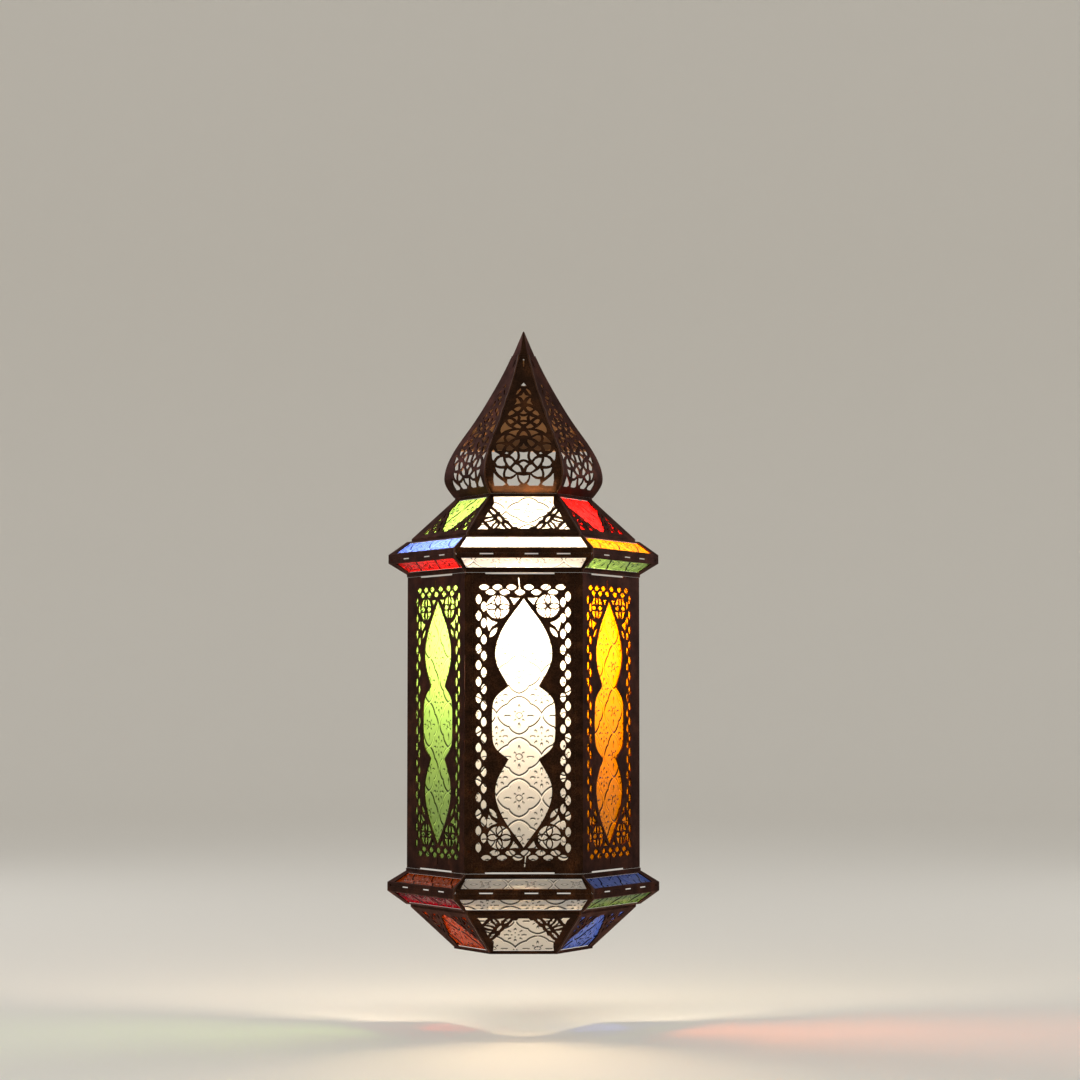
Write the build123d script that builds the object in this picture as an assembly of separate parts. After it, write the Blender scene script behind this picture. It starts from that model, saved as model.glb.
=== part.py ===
from build123d import *
import os
from math import atan2, cos, degrees, radians, sin, sqrt, tan

# Half-hexagonal pierced-metal wall lantern with coloured patterned glass.
# Heights are measured up from the bottom edge while the pieces are made, and every piece is
# then dropped by HANG_Z, so that the origin is the hanging hole, on the wall plane y = 0.
# The wall is on the +Y side and the middle face looks along -Y.

# ---- driving dimensions, mm ----
HEIGHT = 500.0           # bottom edge to tip
HANG_Z = 460.0           # hanging hole above the bottom edge
AXIS_Y = -5.0            # axis of the hexagon, just in front of the wall
SHEET = 0.9              # iron sheet
PANE = 2.6               # pressed glass
FIT = 0.12               # clearance between soldered neighbours
MID_Z = 182.0            # the body and its tiers are mirrored about this height

BODY_D = 84.0            # distances from the wall to the middle face of each level
RIM_D = 97.6
SHOULDER_D = 84.5
NECK_D = 81.3
CROWN_D = 50.9

BODY_TOP_Z = 299.2
RIM_Z = 313.8
SHOULDER_Z = 328.3
CROWN_Z = 362.7

CAP_Z = 479.1            # underside of the tip cap
PLATE_Z = 402.0          # lower edge of the plate behind the dome
HANG_R = 4.0

LAMP_Y = -41.0           # upright bulb, between the wall and the middle pane
LAMP_Z = 200.0           # top of the lamp bracket
BULB_R = 22.5

T30 = tan(radians(30))
C30 = cos(radians(30))
FACES = {"left": -60, "front": 0, "right": 60}

AXIS = Axis((0, AXIS_Y, 0), (0, 0, 1))


# ---- helpers ----
def mirrored(shape):
    """The same shape on the other side of the body's middle height."""
    return mirror(shape, about=Plane.XY.offset(MID_Z))


def turned(shape, face):
    """A shape made as the middle face, turned to the face it belongs to."""
    return shape.rotate(AXIS, FACES[face])


def sector(face, gap=FIT, back=0.0):
    """The slice of space that one face may fill: between the mitres, or mitre and wall."""
    reach = 130.0
    inset = gap / C30
    past = (-AXIS_Y - back) / C30
    right = past if face == "right" else -inset
    left = past if face == "left" else -inset
    outline = Polyline(
        (-left, AXIS_Y),
        (-left - T30 * reach, AXIS_Y - reach),
        (right + T30 * reach, AXIS_Y - reach),
        (right, AXIS_Y),
        close=True,
    )
    if left < 0 and right < 0:
        start = inset / T30
        outline = Polyline(
            (0, AXIS_Y - start),
            (-T30 * reach + inset, AXIS_Y - reach),
            (T30 * reach - inset, AXIS_Y - reach),
            close=True,
        )
    return Pos(0, 0, -10) * extrude(make_face(outline), HEIGHT + 20)


def profile(points):
    """A closed outline in the vertical plane, given as (distance from wall, height)."""
    return make_face(Plane.YZ * Polyline(*[(-d, z) for d, z in points], close=True))


def inward(points, depth):
    """The open outline moved towards the wall and the inside, corner by corner."""
    moved = []
    for i, (d, z) in enumerate(points):
        normals = []
        for j in (i - 1, i):
            if 0 <= j < len(points) - 1:
                dd = points[j + 1][0] - points[j][0]
                dz = points[j + 1][1] - points[j][1]
                size = sqrt(dd * dd + dz * dz)
                normals.append((dz / size, -dd / size))
        nd = sum(n[0] for n in normals) / len(normals)
        nz = sum(n[1] for n in normals) / len(normals)
        share = nd * nd + nz * nz
        moved.append((d + depth * nd / share, z + depth * nz / share))
    return moved


def sheet(points, thick=SHEET):
    """Sheet folded along an open outline that runs downwards, outer side given."""
    return extrude(profile(points + inward(points, thick)[::-1]), 75, both=True)


def punched(area, front=130.0, back=0.0):
    """A prism through a face, from a flat area drawn in (across, height)."""
    placed = Plane.XZ * area
    return Pos(0, -back, 0) * extrude(placed, front - back)


def trapezoid(low_half, low_z, high_half, high_z):
    """A flat area between two level edges."""
    points = [(-low_half, low_z), (low_half, low_z), (high_half, high_z), (-high_half, high_z)]
    return make_face(Polyline(*points, close=True))


def petal(length, width):
    """A lens-shaped area with its points on the x axis."""
    upper = ThreePointArc((-length / 2, 0), (0, width / 2), (length / 2, 0))
    lower = ThreePointArc((length / 2, 0), (0, -width / 2), (-length / 2, 0))
    return make_face(upper + lower)


def cell(points):
    """One pierced opening, from its corners."""
    return make_face(Polyline(*points, close=True))


def cells(listed, lift=0.0, flip=1):
    """Every listed opening on both sides of the middle line."""
    areas = []
    for points in listed:
        placed = [(x, lift + flip * z) for x, z in points]
        areas.append(cell(placed))
        areas.append(cell([(-x, z) for x, z in placed]))
    return areas


def mirrored_outline(half):
    """A closed outline from its right-hand half."""
    return half + [(-x, z) for x, z in reversed(half) if x]


PARTS = {}


def keep(name, shape):
    """Store a piece in the lantern's own frame, with the hanging hole at the origin."""
    PARTS[name] = Pos(0, 0, -HANG_Z) * shape


# ---- sloping tiers: a folded frame and a pane for each face of each level ----
TIERS = {
    1: [(CROWN_D, CROWN_Z + 1.3), (CROWN_D, CROWN_Z), (NECK_D, 330.6), (NECK_D, SHOULDER_Z + 0.1)],
    2: [(80.6, SHOULDER_Z), (SHOULDER_D, SHOULDER_Z), (RIM_D, 317.6), (RIM_D, RIM_Z)],
    3: [(RIM_D, RIM_Z - 0.05), (RIM_D, 310.6), (BODY_D + 0.6, 301.5), (BODY_D + 0.6, 299.35)],
}
SLOPE = {1: (1, 2), 2: (1, 2), 3: (1, 2)}
DASHES = (-29.0, 6.0, 31.0)
DASH_LEN = 10.5
RIM_CORNER = (RIM_D + AXIS_Y) / C30
# the long tier's openings are given on the lowest tier, from the bottom edge up
LONG_EDGE = [(23.8, 2.6), (23.5, 6.0), (23.4, 9.0), (24.7, 11.2), (21.9, 13.4), (20.8, 15.1),
             (18.6, 15.7), (17.9, 18.2), (15.2, 20.4), (14.6, 22.4), (11.7, 23.2), (11.3, 24.8),
             (9.2, 27.0), (8.2, 28.3), (5.4, 28.2), (3.9, 29.9)]
FAN_CELLS = [
    [(36.2, 30.3), (33.9, 28.2), (32.6, 25.2), (31.2, 26.0), (29.8, 28.2), (28.1, 29.7), (28.4, 30.3)],
    [(29.0, 24.8), (25.6, 24.3), (22.2, 23.0), (22.6, 24.2), (24.6, 26.0), (26.2, 28.5), (27.2, 26.4)],
    [(30.8, 22.9), (27.4, 21.5), (24.0, 20.9), (24.2, 21.8), (27.0, 23.0), (30.2, 23.5)],
    [(30.0, 20.0), (28.9, 18.0), (28.1, 15.8), (26.8, 17.6), (24.9, 19.4), (27.6, 19.6)],
    [(26.5, 13.2), (24.4, 14.4), (22.2, 17.0), (22.4, 17.9), (24.4, 17.0), (25.8, 15.2)],
    [(21.0, 19.6), (19.2, 20.0), (17.4, 22.2), (17.0, 23.8), (18.2, 23.8), (20.2, 21.8)],
    [(24.2, 29.4), (23.2, 27.2), (21.4, 25.2), (20.4, 25.0), (20.8, 26.6), (22.4, 28.8), (23.6, 29.7)],
    [(20.8, 29.4), (19.1, 27.8), (18.2, 25.8), (17.0, 27.9), (14.4, 30.1), (18.0, 29.7)],
    [(15.2, 25.6), (13.2, 26.2), (11.4, 27.8), (10.2, 29.5), (11.0, 29.9), (13.2, 28.8)],
]


def long_tier_opening():
    """Scalloped opening with a fan of petals and gaps in its two wide corners."""
    top = 2 * MID_Z
    areas = [cell([(x, top - z) for x, z in mirrored_outline(LONG_EDGE)])]
    return areas + cells(FAN_CELLS, lift=top, flip=-1)


def tier_openings(level):
    if level == 1:
        return long_tier_opening()
    if level == 2:
        return [trapezoid(49.3, 318.4, 44.6, 327.1)]
    return [trapezoid(44.9, 303.0, 48.6, 310.0)]


def tier_pane(level):
    """Flat pane that lies against the inside of the sloping part of a frame."""
    (d0, z0), (d1, z1) = TIERS[level][1:3]
    size = sqrt((d1 - d0) ** 2 + (z1 - z0) ** 2)
    ends = {1: (0.5, 2.2), 2: (0.4, 1.6), 3: (1.6, 0.9)}[level]
    line = []
    for along in (ends[0], size - ends[1]):
        line.append((d0 + (d1 - d0) * along / size, z0 + (z1 - z0) * along / size))
    outer = inward(line, SHEET + FIT)
    inner = inward(line, SHEET + FIT + PANE)
    return extrude(profile(outer + inner[::-1]), 75, both=True)


for level, outline in TIERS.items():
    folded = sheet(outline)
    for area in tier_openings(level):
        folded = folded - punched(area, back=30)
    if level == 3:
        for x in DASHES:
            folded = folded - Pos(x, -RIM_D, RIM_Z - 0.5) * Box(DASH_LEN, 4, 1.0)
        for angle in (-30, 30):
            vent = Pos(0, AXIS_Y - RIM_CORNER, RIM_Z - 0.9) * Rot(90, 0, 0) * Cylinder(0.9, 10)
            folded = folded - vent.rotate(AXIS, angle)
    pane = tier_pane(level)
    for face in FACES:
        frame = turned(folded & sector(face), face)
        glass = turned(pane & sector(face, gap=1.3, back=2.6), face)
        low = 7 - level
        keep(f"tier_{level}_{face}_frame", frame)
        keep(f"tier_{level}_{face}_glass", glass)
        keep(f"tier_{low}_{face}_frame", mirrored(frame))
        keep(f"tier_{low}_{face}_glass", mirrored(glass))

# ---- body: pierced panels, with a pane behind each ----
PANEL_MID = MID_Z
PANEL_HALF = BODY_TOP_Z - MID_Z
SLOT_Z = 298.0           # top edge of the panel along the light slot
SLIT_Z = (197.0, 76.0)   # middle height and length of the slit at the left front corner
ARCH = [(0, 96.8), (6.4, 87.8), (12.6, 79.3), (17.6, 70.6), (20.7, 62.6), (22.1, 53.5),
        (20.9, 46.0), (17.1, 37.8), (11.6, 28.4)]
ARCH_HIP = [(11.6, 28.4), (15.6, 25.4), (20.0, 21.8), (23.2, 17.0), (24.3, 11.5), (24.6, 0)]
ALMOND = (7.8, 4.3)
MEDALLIONS = [(-20.2, 90.3), (18.9, 91.0), (-19.0, -89.1), (20.1, -88.9)]
MEDALLION_R = 9.0

# places of the almond holes, as cut: each row and column has its own pitch
TOP_ROWS = {105.8: (-31.0, -20.4, -9.6, 4.1, 17.3, 28.9), 101.8: (-25.8, -14.8, -3.0, 9.8, 23.0)}
FOOT_ROWS = {-104.8: (-29.1, -16.8, -4.6, 7.5, 19.1, 30.7), -101.0: (-22.5, -10.3, 1.6, 13.1, 24.8)}
COLUMNS = [(-35.2, 96.3, 12.87, 16), (-31.1, 90.6, 12.87, 15), (34.6, 98.5, 12.22, 17),
           (30.7, 94.0, 12.38, 16)]
CORNER_CELLS = [
    [(10.8, 97.6), (7.2, 97.0), (3.2, 97.3), (5.4, 94.8), (7.8, 92.0), (9.0, 95.0)],
    [(28.6, 82.4), (28.6, 76.4), (27.0, 71.6), (25.0, 75.0), (20.6, 78.0), (24.8, 79.4)],
]
LEAF = (23.6, 70.4, 129, 9.4, 3.3)


def arch():
    """Triple-lobed opening: pointed lobes above and below a straight-sided middle."""
    lobe = Spline(*ARCH)
    hip = Spline(*ARCH_HIP, tangents=[(0.85, -0.6), (0, -1)])
    half = lobe + hip
    half = half + mirror(half, about=Plane.XZ)
    return make_face(half + mirror(half, about=Plane.YZ))


def almonds():
    """Two staggered rows of almond holes all round the panel."""
    holes = []
    for rows in (TOP_ROWS, FOOT_ROWS):
        for z, places in rows.items():
            for x in places:
                holes.append(Pos(x, z) * petal(*ALMOND))
    for x, z, pitch, count in COLUMNS:
        for i in range(count):
            holes.append(Pos(x, z - pitch * i) * Rot(0, 0, 90) * petal(*ALMOND))
    return holes


def medallion():
    """Disc with a cross of four petals and the four gaps between them."""
    disc = Circle(MEDALLION_R)
    for angle in range(0, 360, 90):
        web = petal(10.4, 5.9) - petal(7.4, 3.7)
        disc = disc - Rot(0, 0, angle) * Pos(5.1, 0) * web
    return disc - Circle(1.5)


def corner_gaps():
    """Small openings between the medallions, the arch and the border."""
    gaps = cells(CORNER_CELLS) + cells(CORNER_CELLS, flip=-1)
    x, z, angle, length, width = LEAF
    for sx in (1, -1):
        for sz in (1, -1):
            turn = angle if sx * sz > 0 else 180 - angle
            gaps.append(Pos(sx * x, sz * z) * Rot(0, 0, turn) * petal(length, width))
    return gaps


def body_panel():
    outline = [(BODY_D, 2 * MID_Z - BODY_TOP_Z), (BODY_D, BODY_TOP_Z)]
    plate = sheet(outline[::-1])
    cuts = [arch()] + almonds() + corner_gaps()
    cuts += [Pos(x, z) * medallion() for x, z in MEDALLIONS]
    cuts.append(Pos(-3.6, 108.6) * Rot(0, 0, 5) * Rectangle(0.9, 9.0))
    cuts.append(Pos(1.2, -107.4) * Rot(0, 0, -6) * Rectangle(0.9, 9.0))
    for area in cuts:
        plate = plate - Pos(0, 0, PANEL_MID) * punched(area, back=60)
    for z in (BODY_TOP_Z, 2 * MID_Z - BODY_TOP_Z):
        plate = plate - Pos(-3, -BODY_D, z) * Box(54, 4, 2 * (BODY_TOP_Z - SLOT_Z))
    return plate


def corner_slit(width, depth):
    """The place where the left front corner has sprung open a little."""
    wedge = Pos(0, AXIS_Y - (BODY_D + AXIS_Y) / C30, SLIT_Z[0]) * Box(width, depth, SLIT_Z[1])
    return wedge.rotate(AXIS, -30)


panel = body_panel()
slit = corner_slit(0.8, 14)
pane_half = PANEL_HALF - 2.2
pane_line = [(BODY_D, MID_Z + pane_half), (BODY_D, MID_Z - pane_half)]
pane_outline = inward(pane_line, SHEET + 0.3) + inward(pane_line, SHEET + 0.3 + PANE)[::-1]
pane = extrude(profile(pane_outline), 75, both=True)
for face in FACES:
    keep(f"body_{face}_panel", turned(panel & sector(face), face) - slit)
    keep(f"body_{face}_glass", turned(pane & sector(face, gap=1.6, back=5.0), face))

# ---- angle strips folded over the two front corners of the body ----
STRIP = 5.2
strips = []
strip_d = BODY_D + 0.05 + SHEET
strip_half = T30 * (strip_d + AXIS_Y)
for side, face in ((-1, "left"), (1, "right")):
    leg = Pos(side * (strip_half - STRIP / 2), -strip_d + SHEET / 2, MID_Z)
    leg = leg * Box(STRIP + 2, SHEET, 2 * PANEL_HALF - 4)
    front_leg = leg & sector("front", gap=0)
    side_leg = turned(mirror(leg, about=Plane.YZ) & sector("front", gap=0), face)
    strips.append(front_leg + side_leg - slit)
keep("corner_strips", Compound(children=strips))

# ---- dome: three pierced ogee panels, a plate behind them and a tip cap ----
DOME = [(49.6, 363.0), (54.9, 371), (57.3, 377), (57.3, 383), (54.7, 393), (47.9, 407),
        (38.3, 422.6), (26.3, 444.5), (15.3, 467.4), (9.6, 481.5)]
DOME_Z = (CROWN_Z + 1.4, CAP_Z - 0.1)
# openings of the dome's fret, in (across, height); the first list is repeated on both sides
DOME_CELLS = [
    [(22.2, 388.0), (20.6, 390.7), (18.6, 392.2), (16.6, 392.6), (16.2, 389.5), (15.0, 387.2),
     (14.9, 385.6), (18.0, 385.2), (21.0, 385.8)],
    [(14.2, 391.6), (12.0, 391.9), (9.6, 390.8), (7.9, 388.6), (9.0, 386.9), (11.0, 385.0),
     (12.4, 386.6), (13.8, 389.2)],
    [(9.3, 383.5), (6.6, 386.4), (4.6, 385.8), (2.8, 383.6), (2.0, 380.6), (5.4, 380.4), (7.4, 381.6)],
    [(25.4, 396.4), (24.2, 399.2), (22.8, 396.6), (20.2, 395.2), (19.0, 394.2), (21.4, 393.2),
     (22.8, 391.6), (24.2, 389.6), (25.0, 391.4)],
    [(10.6, 394.0), (8.4, 396.0), (6.6, 397.9), (5.4, 396.6), (5.0, 394.0), (5.2, 391.6),
     (6.4, 390.0), (8.4, 392.4)],
    [(15.0, 395.6), (13.5, 396.8), (12.0, 395.6), (13.5, 395.1)],
    [(22.5, 384.2), (21.4, 380.9), (19.4, 378.4), (16.4, 376.1), (16.6, 379.0), (15.6, 382.9),
     (18.6, 383.0), (20.8, 383.6)],
    [(12.9, 383.2), (14.2, 381.0), (14.6, 378.8), (14.4, 377.0), (11.0, 376.6), (8.4, 377.6),
     (6.4, 379.2), (9.4, 380.8), (11.4, 382.0)],
    [(23.7, 379.6), (21.6, 377.0), (18.6, 374.6), (15.6, 372.6), (14.4, 370.8), (17.0, 369.6),
     (23.2, 369.6), (24.0, 374.0)],
    [(12.9, 374.6), (9.6, 374.9), (7.0, 376.6), (5.4, 378.2), (5.2, 375.6), (4.2, 373.0),
     (2.6, 371.2), (4.4, 369.8), (11.6, 369.8), (13.2, 372.0)],
    [(21.8, 402.2), (20.6, 403.1), (17.6, 403.1), (15.0, 402.4), (16.4, 399.8), (17.4, 397.8),
     (20.6, 397.8), (21.8, 399.8)],
    [(14.1, 398.4), (13.2, 400.6), (11.2, 402.4), (9.6, 401.0), (7.9, 399.5), (9.6, 398.1),
     (12.0, 397.9)],
    [(9.0, 404.0), (6.6, 406.4), (3.2, 407.3), (3.0, 405.4), (4.6, 402.6), (6.4, 401.2), (8.0, 402.4)],
    [(22.0, 404.4), (20.0, 407.2), (17.2, 409.9), (15.4, 410.8), (16.2, 408.0), (15.4, 405.2),
     (18.8, 405.0)],
    [(14.0, 408.2), (13.2, 410.5), (10.8, 410.8), (8.8, 409.8), (6.9, 408.6), (9.4, 407.4),
     (12.2, 405.1), (13.4, 406.4)],
    [(11.9, 412.9), (9.6, 414.5), (6.6, 415.1), (3.6, 415.3), (5.2, 413.4), (6.2, 410.5), (8.8, 411.8)],
    [(8.9, 416.8), (11.6, 418.2), (13.4, 420.0), (14.9, 422.1), (16.6, 420.0), (18.2, 417.0),
     (18.5, 414.4), (17.8, 412.6), (15.2, 414.7), (11.8, 416.0)],
    [(8.0, 418.4), (6.6, 419.9), (5.2, 420.8), (3.4, 419.5), (1.9, 418.0), (2.8, 416.8), (6.0, 417.2)],
    [(8.8, 426.0), (6.6, 426.6), (5.0, 427.6), (4.8, 425.6), (5.4, 423.5), (6.8, 425.1)],
    [(12.9, 424.0), (11.4, 424.8), (9.6, 424.2), (7.6, 422.2), (9.4, 421.3), (10.4, 420.4), (12.0, 421.6)],
    [(12.5, 428.6), (11.4, 431.0), (9.5, 432.4), (8.2, 431.6), (7.1, 430.2), (9.0, 428.8), (11.4, 427.7)],
    [(7.8, 433.4), (5.8, 434.8), (3.4, 435.6), (2.0, 434.8), (3.0, 432.9), (4.9, 431.5), (6.4, 432.2)],
    [(7.4, 437.0), (5.0, 438.0), (2.5, 438.4), (3.0, 440.2), (5.0, 442.8), (6.0, 442.4), (5.4, 440.0)],
    [(6.2, 446.0), (5.0, 449.0), (2.6, 451.2), (1.9, 450.4), (3.6, 447.9), (5.0, 446.2)],
]
# openings on the middle line, right-hand half
DOME_MIDDLE = [
    [(0, 388.9), (1.6, 388.4), (3.4, 387.0), (1.2, 385.4), (0, 383.2)],
    [(0, 396.4), (3.4, 396.9), (2.8, 394.2), (2.9, 391.8), (3.9, 389.6), (1.8, 390.5), (0, 390.8)],
    [(0, 377.4), (4.0, 377.9), (3.6, 375.4), (2.2, 373.2), (0, 371.4)],
    [(0, 404.2), (1.3, 401.8), (3.4, 400.5), (1.6, 399.2), (0, 398.8)],
    [(0, 414.2), (0.9, 414.1), (2.4, 412.6), (3.4, 410.3), (0, 411.0)],
    [(0, 422.4), (2.8, 421.9), (1.6, 420.8), (0, 420.4)],
    [(0, 427.0), (1.4, 427.1), (3.3, 428.1), (2.2, 426.0), (2.6, 423.8), (0, 424.3)],
    [(0, 432.8), (1.2, 431.0), (2.9, 430.0), (1.2, 429.3), (0, 429.2)],
    [(0, 447.8), (1.4, 445.4), (4.2, 444.5), (1.5, 443.2), (0, 440.8)],
    [(0, 456.2), (2.6, 453.2), (0, 453.0)],
]


def dome_outline(inset):
    """The ogee as a spline, moved in by part of the sheet."""
    points = inward(DOME, inset)
    return [(-d, z) for d, z in points]


def dome_sheet():
    outer = Spline(*dome_outline(0))
    inner = Spline(*dome_outline(SHEET))
    ends = Line(outer @ 1, inner @ 1) + Line(inner @ 0, outer @ 0)
    section = make_face(Plane.YZ * (outer + inner + ends))
    low, high = DOME_Z
    level = Pos(0, -40, (low + high) / 2) * Box(140, 90, high - low)
    return extrude(section, 60, both=True) & level


def dome_fret():
    return cells(DOME_CELLS) + [cell(mirrored_outline(half)) for half in DOME_MIDDLE]


dome = dome_sheet()
for area in dome_fret():
    dome = dome - punched(area, back=6)
dome = dome - punched(Pos(0, 473.2) * RectangleRounded(1.1, 6.6, 0.5), back=6)
for face in FACES:
    keep(f"dome_{face}_panel", turned(dome & sector(face), face))


def half_width_at_wall(d):
    """Half the lantern's width at the wall, where the middle face stands d from it."""
    return (d + AXIS_Y) / C30 - AXIS_Y / C30 * 0.5


def cap_section(d, wide, z):
    """Half-hexagon outline of one level of the tip cap."""
    front = T30 * (d + AXIS_Y)
    points = [(-wide, 0), (-front, -d), (front, -d), (wide, 0)]
    return Pos(0, 0, z) * make_face(Polyline(*points, close=True))


cap_levels = [(11.3, 10.1, CAP_Z), (11.3, 9.9, CAP_Z + 1.3), (10.2, 9.0, CAP_Z + 1.5), (8.6, 6.6, 486),
              (7.2, 4.1, 492), (6.2, 2.4, 496), (5.5, 0.8, HEIGHT)]
keep("dome_cap", loft([cap_section(*level) for level in cap_levels], ruled=True))

plate_edge = []
for d, z in inward(DOME, 0.0):
    if z > PLATE_Z:
        plate_edge.append((half_width_at_wall(d) - 1.6, z))
low_half = half_width_at_wall(50.6) - 1.6
plate_edge = [(low_half, PLATE_Z)] + plate_edge[:-1]
plate_edge.append((half_width_at_wall(11.0) - 1.6, CAP_Z - 2.0))
plate_area = make_face(Polyline(*plate_edge, *[(-x, z) for x, z in reversed(plate_edge)], close=True))
plate_area = plate_area - Pos(0, HANG_Z) * Circle(HANG_R)
plate = extrude(Plane.XZ * plate_area, SHEET)
lip = Pos(0, -2.4, PLATE_Z + SHEET / 2) * Box(2 * low_half - 4, 4.8, SHEET)
keep("dome_back_plate", plate + lip)

# ---- open back of the body: two upright stiles and two straps across ----
STILE_W = 9.0
STILE_LEN = 226.0
stile_x = half_width_at_wall(BODY_D) - SHEET / C30 - SHEET * T30 - 0.2 - STILE_W / 2
screw_x = stile_x - 1.4
STRAP_W = 14.0
STRAPS = {"lower": 184.0, "upper": 282.0}
WALL_SCREW_X = 60.0
stiles = []
for side in (-1, 1):
    stile = Pos(side * stile_x, -SHEET / 2, MID_Z) * Box(STILE_W, SHEET, STILE_LEN)
    for z in STRAPS.values():
        stile = stile - Pos(side * screw_x, 0, z) * Rot(90, 0, 0) * Cylinder(1.6, 6)
    stiles.append(stile)
keep("back_stiles", Compound(children=stiles))

strap_half = stile_x + STILE_W / 2 - 2.0
straps = []
for z in STRAPS.values():
    strap = Pos(0, -1.5 * SHEET - 0.02, z) * Box(2 * strap_half, SHEET, STRAP_W)
    for side in (-1, 1):
        for x, radius in ((screw_x, 1.6), (WALL_SCREW_X, 2.5), (8, 1.6)):
            strap = strap - Pos(side * x, 0, z) * Rot(90, 0, 0) * Cylinder(radius, 8)
    straps.append(strap)
keep("back_straps", Compound(children=straps))

# ---- lamp bracket: an angle screwed to the lower strap, with a shelf for the holder ----
BRACKET_T = 1.5
BRACKET_W = 26.0
bracket_y = -2 * SHEET - 0.04
leg = Pos(0, bracket_y - BRACKET_T / 2, LAMP_Z - 12) * Box(BRACKET_W, BRACKET_T, 24)
shelf_len = -LAMP_Y + 15 + bracket_y
shelf = Pos(0, bracket_y - shelf_len / 2, LAMP_Z - BRACKET_T / 2) * Box(BRACKET_W, shelf_len, BRACKET_T)
bracket = leg + shelf
bracket = fillet(bracket.edges().filter_by(Axis.Z).sort_by(Axis.Y)[:2], 8)
bracket = bracket - Pos(0, LAMP_Y, LAMP_Z) * Cylinder(5.0, 10)
for side in (-1, 1):
    bracket = bracket - Pos(side * 8, 0, STRAPS["lower"]) * Rot(90, 0, 0) * Cylinder(1.6, 12)
keep("lamp_bracket", bracket)

# ---- lampholder, its threaded skirt ring, and the bulb ----
HOLDER_H = 36.0
HOLDER_R = 12.5
CAP_R = 7.0
BORE_R = 7.25
lamp = Pos(0, LAMP_Y, 0)
holder_base = Pos(0, 0, LAMP_Z + 3.1) * Cylinder(13.5, 6.0)
holder_body = Pos(0, 0, LAMP_Z + 6 + (HOLDER_H - 6) / 2) * Cylinder(HOLDER_R - 1, HOLDER_H - 6)
holder = holder_base + holder_body
holder = holder - Pos(0, 0, LAMP_Z + 10 + HOLDER_H / 2) * Cylinder(BORE_R, HOLDER_H)
nipple = Pos(0, 0, LAMP_Z - 3.4) * Cylinder(4.8, 7.6)
keep("lampholder", lamp * (holder + nipple))

skirt = Pos(0, 0, LAMP_Z + 26) * Cylinder(HOLDER_R + 1.6, 8)
skirt = skirt - Pos(0, 0, LAMP_Z + 26) * Cylinder(HOLDER_R - 1 + 0.15, 9)
keep("lampholder_ring", lamp * skirt)

nut = Pos(0, 0, LAMP_Z - BRACKET_T - 1.7) * extrude(RegularPolygon(8, 6), 3.0, both=False)
nut = Pos(0, 0, -1.5) * nut - Pos(0, 0, LAMP_Z - 4) * Cylinder(4.95, 14)
keep("lampholder_nut", lamp * nut)

BULB_LOW = LAMP_Z + 11.0
cap_profile = [(0, BULB_LOW), (2.4, BULB_LOW), (3.4, BULB_LOW + 1.6), (CAP_R - 0.6, BULB_LOW + 4.2),
               (CAP_R, BULB_LOW + 5), (CAP_R, BULB_LOW + 25), (0, BULB_LOW + 25)]
cap_face = make_face(Plane.XZ * Polyline(*cap_profile, close=True))
keep("bulb_cap", lamp * revolve(cap_face, Axis.Z))

globe_z = BULB_LOW + 55.5


def envelope(shrink):
    """Outline of the glass envelope: a ball that runs down into a neck."""
    r = BULB_R - shrink
    neck_r = CAP_R - 0.3 - shrink
    base = BULB_LOW + 25.1
    join = (r * cos(radians(-38)), globe_z + r * sin(radians(-38)))
    ball = CenterArc((0, globe_z), r, -38, 128)
    neck = Spline((neck_r, base), (neck_r + 1.6, base + 7), join,
                  tangents=[(0, 1), (sin(radians(38)), cos(radians(38)))])
    return ball + neck + Line((neck_r, base), (0, base)) + Line((0, base), (0, globe_z + r))


outer_glass = revolve(make_face(Plane.XZ * envelope(0)), Axis.Z)
inner_glass = revolve(make_face(Plane.XZ * envelope(0.9)), Axis.Z)
keep("bulb_glass", lamp * (outer_glass - inner_glass))

stem = Pos(0, 0, BULB_LOW + 25.2 + 9) * Cone(4.4, 1.6, 18)
coil = Pos(0, 0, globe_z + 4) * Torus(7.0, 0.5)
wires = [Pos(x, 0, (BULB_LOW + 43 + globe_z + 4) / 2) * Cylinder(0.35, globe_z + 4 - BULB_LOW - 43)
         for x in (-7.0, 7.0)]
spread = Pos(0, 0, BULB_LOW + 42.6) * Box(14.4, 0.9, 0.9)
keep("bulb_filament", lamp * (stem + coil + wires[0] + wires[1] + spread))

# ---- terminal block on the bracket's leg, screws, and the tabs that hold the panes ----
block = Pos(0, bracket_y - BRACKET_T - 5.55, LAMP_Z - 6.6) * Box(18, 11, 7.6)
for x in (-4.5, 4.5):
    block = block - Pos(x, bracket_y - BRACKET_T - 5.5, LAMP_Z - 9) * Cylinder(1.9, 6)
keep("terminal_block", block)

screws = []
for name, z in STRAPS.items():
    for side in (-1, 1):
        shank = Pos(side * screw_x, -1.5, z) * Rot(90, 0, 0) * Cylinder(1.5, 2.6)
        head = Pos(side * screw_x, -2 * SHEET - 0.05 - 0.9, z) * Rot(90, 0, 0) * Cylinder(2.8, 1.7)
        screws.append(shank + head)
for side in (-1, 1):
    shank = Pos(side * 8, -2.4, STRAPS["lower"]) * Rot(90, 0, 0) * Cylinder(1.5, 4.4)
    head_y = bracket_y - BRACKET_T - 0.02 - 0.9
    head = Pos(side * 8, head_y, STRAPS["lower"]) * Rot(90, 0, 0) * Cylinder(2.8, 1.8)
    screws.append(shank + head)
keep("screws", Compound(children=screws))

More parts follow.
